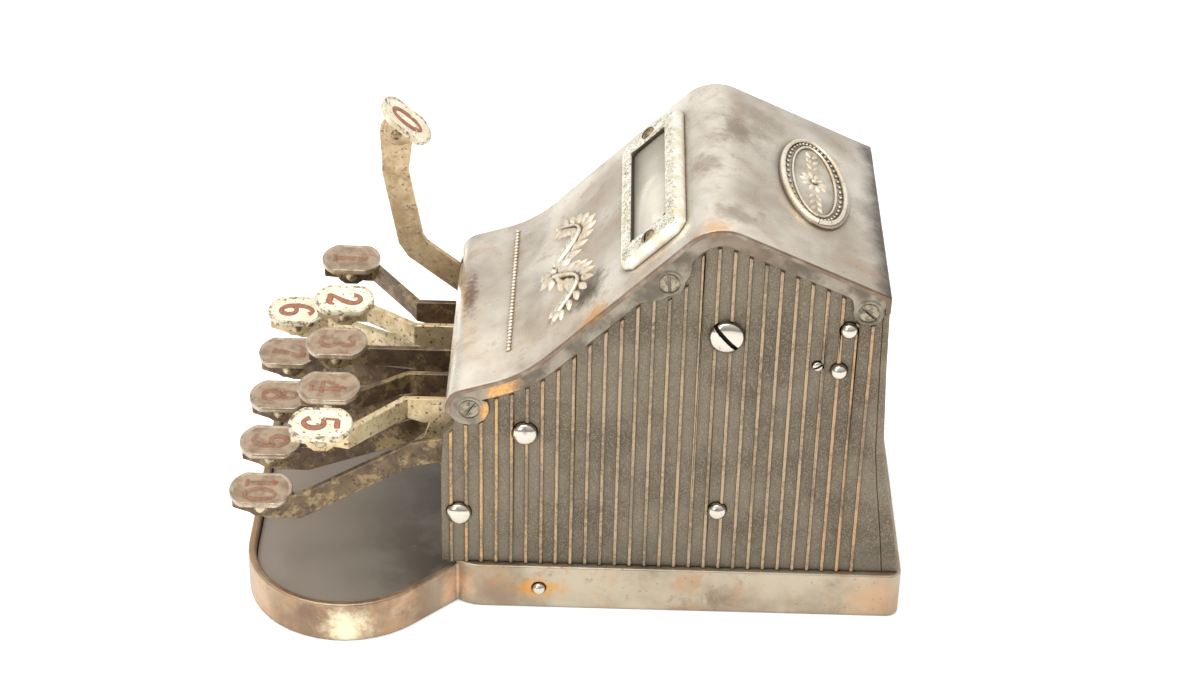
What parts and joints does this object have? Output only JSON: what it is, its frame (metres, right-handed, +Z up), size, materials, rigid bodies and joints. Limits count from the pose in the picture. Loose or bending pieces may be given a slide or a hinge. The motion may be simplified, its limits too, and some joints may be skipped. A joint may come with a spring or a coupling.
{
  "type": "adding machine",
  "caption": "Small cast adding machine: ribbed sides, sloped cover with a number window, two rows of hinged digit keys over a rounded apron, and a tall reset lever at the left.",
  "frame": {"origin": "on the flat underside of the base, under the middle of the body", "axes": "+X to the operator's right, +Y from the keys to the back, +Z up"},
  "size_m": [0.1022, 0.1616, 0.1082],
  "materials": {
    "base": "worn cast metal with copper patches",
    "wall": "dark bronzed, ridges worn to copper",
    "cover": "worn nickel over cast metal",
    "mat": "matte lining",
    "bezel": "worn nickel on brass",
    "glass": "clouded",
    "bright": "polished",
    "dark_screw": "dull",
    "lever_dark": "browned",
    "lever_pale": "pitted plating",
    "key_dark": "worn enamel",
    "key_pale": "chipped enamel",
    "number": "satin enamel",
    "gear": "machined",
    "steel": "plain"
  },
  "bodies": {
    "frame": {"base_casting": "base", "apron_mat": "mat", "base_pins": "bright", "right_side_wall": "wall", "left_side_wall": "wall", "rear_wall": "wall", "front_comb": "steel", "top_cover": "cover", "cover_screws": "dark_screw", "window_bezel": "bezel", "bezel_screws": "dark_screw", "window_glass": "glass", "key_shaft": "bright", "up_stop_rod": "bright", "down_stop_rod": "bright", "lift_rod": "bright", "hold_rod": "bright", "wheel_shaft": "bright", "wheel_screws": "bright", "adjust_screws": "bright", "detent_springs": "steel", "idler_stud": "steel", "key_spacers": "steel", "wheel_spacer": "steel", "key_springs": "steel"},
    "key_1": {"key_lever_1": "lever_dark", "key_top_1": "key_dark"},
    "key_2": {"key_lever_2": "lever_pale", "key_top_2": "key_pale"},
    "key_3": {"key_lever_3": "lever_dark", "key_top_3": "key_dark"},
    "key_4": {"key_lever_4": "lever_dark", "key_top_4": "key_dark"},
    "key_5": {"key_lever_5": "lever_pale", "key_top_5": "key_pale"},
    "key_6": {"key_lever_6": "lever_pale", "key_top_6": "key_pale"},
    "key_7": {"key_lever_7": "lever_dark", "key_top_7": "key_dark"},
    "key_8": {"key_lever_8": "lever_dark", "key_top_8": "key_dark"},
    "key_9": {"key_lever_9": "lever_dark", "key_top_9": "key_dark"},
    "key_10": {"key_lever_10": "lever_dark", "key_top_10": "key_dark"},
    "zero": {"zero_lever": "lever_pale", "zero_top": "key_pale", "reset_comb": "steel"},
    "units": {"units_wheel": "number"},
    "tens": {"tens_wheel": "number"},
    "hundreds": {"hundreds_wheel": "number"},
    "tens_lift": {"tens_carry": "steel"},
    "hundreds_lift": {"hundreds_carry": "steel"},
    "drive": {"drive_frame": "steel"},
    "idler": {"idler_gear": "gear"},
    "pinion": {"drive_pinion": "gear"}
  },
  "joints": [
    {"name": "key_1_press", "type": "hinge", "parent": "frame", "child": "key_1", "pos_m": [0, 0.0092, 0.0299], "axis": [1, 0, 0], "range_deg": [0, 4], "stiffness_Nm_per_rad": 0.5, "springref_deg": -5.73, "deforming": ["key_springs"]},
    {"name": "key_2_press", "type": "hinge", "parent": "frame", "child": "key_2", "pos_m": [0, 0.0092, 0.0299], "axis": [1, 0, 0], "range_deg": [0, 4], "stiffness_Nm_per_rad": 0.5, "springref_deg": -5.73, "deforming": ["key_springs"]},
    {"name": "key_3_press", "type": "hinge", "parent": "frame", "child": "key_3", "pos_m": [0, 0.0092, 0.0299], "axis": [1, 0, 0], "range_deg": [0, 4], "stiffness_Nm_per_rad": 0.5, "springref_deg": -5.73, "deforming": ["key_springs"]},
    {"name": "key_4_press", "type": "hinge", "parent": "frame", "child": "key_4", "pos_m": [0, 0.0092, 0.0299], "axis": [1, 0, 0], "range_deg": [0, 4], "stiffness_Nm_per_rad": 0.5, "springref_deg": -5.73, "deforming": ["key_springs"]},
    {"name": "key_5_press", "type": "hinge", "parent": "frame", "child": "key_5", "pos_m": [0, 0.0092, 0.0299], "axis": [1, 0, 0], "range_deg": [0, 4], "stiffness_Nm_per_rad": 0.5, "springref_deg": -5.73, "deforming": ["key_springs"]},
    {"name": "key_6_press", "type": "hinge", "parent": "frame", "child": "key_6", "pos_m": [0, 0.0092, 0.0299], "axis": [1, 0, 0], "range_deg": [0, 4], "stiffness_Nm_per_rad": 0.5, "springref_deg": -5.73, "deforming": ["key_springs"]},
    {"name": "key_7_press", "type": "hinge", "parent": "frame", "child": "key_7", "pos_m": [0, 0.0092, 0.0299], "axis": [1, 0, 0], "range_deg": [0, 4], "stiffness_Nm_per_rad": 0.5, "springref_deg": -5.73, "deforming": ["key_springs"]},
    {"name": "key_8_press", "type": "hinge", "parent": "frame", "child": "key_8", "pos_m": [0, 0.0092, 0.0299], "axis": [1, 0, 0], "range_deg": [0, 4], "stiffness_Nm_per_rad": 0.5, "springref_deg": -5.73, "deforming": ["key_springs"]},
    {"name": "key_9_press", "type": "hinge", "parent": "frame", "child": "key_9", "pos_m": [0, 0.0092, 0.0299], "axis": [1, 0, 0], "range_deg": [0, 4], "stiffness_Nm_per_rad": 0.5, "springref_deg": -5.73, "deforming": ["key_springs"]},
    {"name": "key_10_press", "type": "hinge", "parent": "frame", "child": "key_10", "pos_m": [0, 0.0092, 0.0299], "axis": [1, 0, 0], "range_deg": [0, 4], "stiffness_Nm_per_rad": 0.5, "springref_deg": -5.73, "deforming": ["key_springs"]},
    {"name": "zero_press", "type": "hinge", "parent": "frame", "child": "zero", "pos_m": [0, 0.0092, 0.0299], "axis": [1, 0, 0], "range_deg": [0, 5.5], "stiffness_Nm_per_rad": 0.6, "springref_deg": -5.73},
    {"name": "units_spin", "type": "hinge", "parent": "frame", "child": "units", "pos_m": [0, 0.00915, 0.0795], "axis": [1, 0, 0], "continuous": true, "deforming": ["detent_springs"]},
    {"name": "tens_spin", "type": "hinge", "parent": "frame", "child": "tens", "pos_m": [0, 0.00915, 0.0795], "axis": [1, 0, 0], "continuous": true, "deforming": ["detent_springs"]},
    {"name": "hundreds_spin", "type": "hinge", "parent": "frame", "child": "hundreds", "pos_m": [0, 0.00915, 0.0795], "axis": [1, 0, 0], "continuous": true, "deforming": ["detent_springs"]},
    {"name": "tens_lift_swing", "type": "hinge", "parent": "frame", "child": "tens_lift", "pos_m": [0, 0.03706, 0.0822], "axis": [1, 0, 0], "range_deg": [-10, 0], "stiffness_Nm_per_rad": 0.02, "springref_deg": 5.73},
    {"name": "hundreds_lift_swing", "type": "hinge", "parent": "frame", "child": "hundreds_lift", "pos_m": [0, 0.03706, 0.0822], "axis": [1, 0, 0], "range_deg": [-10, 0], "stiffness_Nm_per_rad": 0.02, "springref_deg": 5.73},
    {"name": "drive_swing", "type": "hinge", "parent": "frame", "child": "drive", "pos_m": [0, 0.0092, 0.0299], "axis": [1, 0, 0], "range_deg": [0, 4]},
    {"name": "idler_turn", "type": "hinge", "parent": "frame", "child": "idler", "pos_m": [0, -0.0017, 0.06672], "axis": [1, 0, 0], "range_deg": [-60, 0]},
    {"name": "pinion_turn", "type": "hinge", "parent": "frame", "child": "pinion", "pos_m": [0, 0.00915, 0.0795], "axis": [1, 0, 0], "range_deg": [0, 360]}
  ],
  "couplings": [
    {"joint": "drive_swing", "follows": "key_10_press", "ratio": 1},
    {"joint": "idler_turn", "follows": "key_10_press", "ratio": -15},
    {"joint": "pinion_turn", "follows": "key_10_press", "ratio": 90}
  ]
}
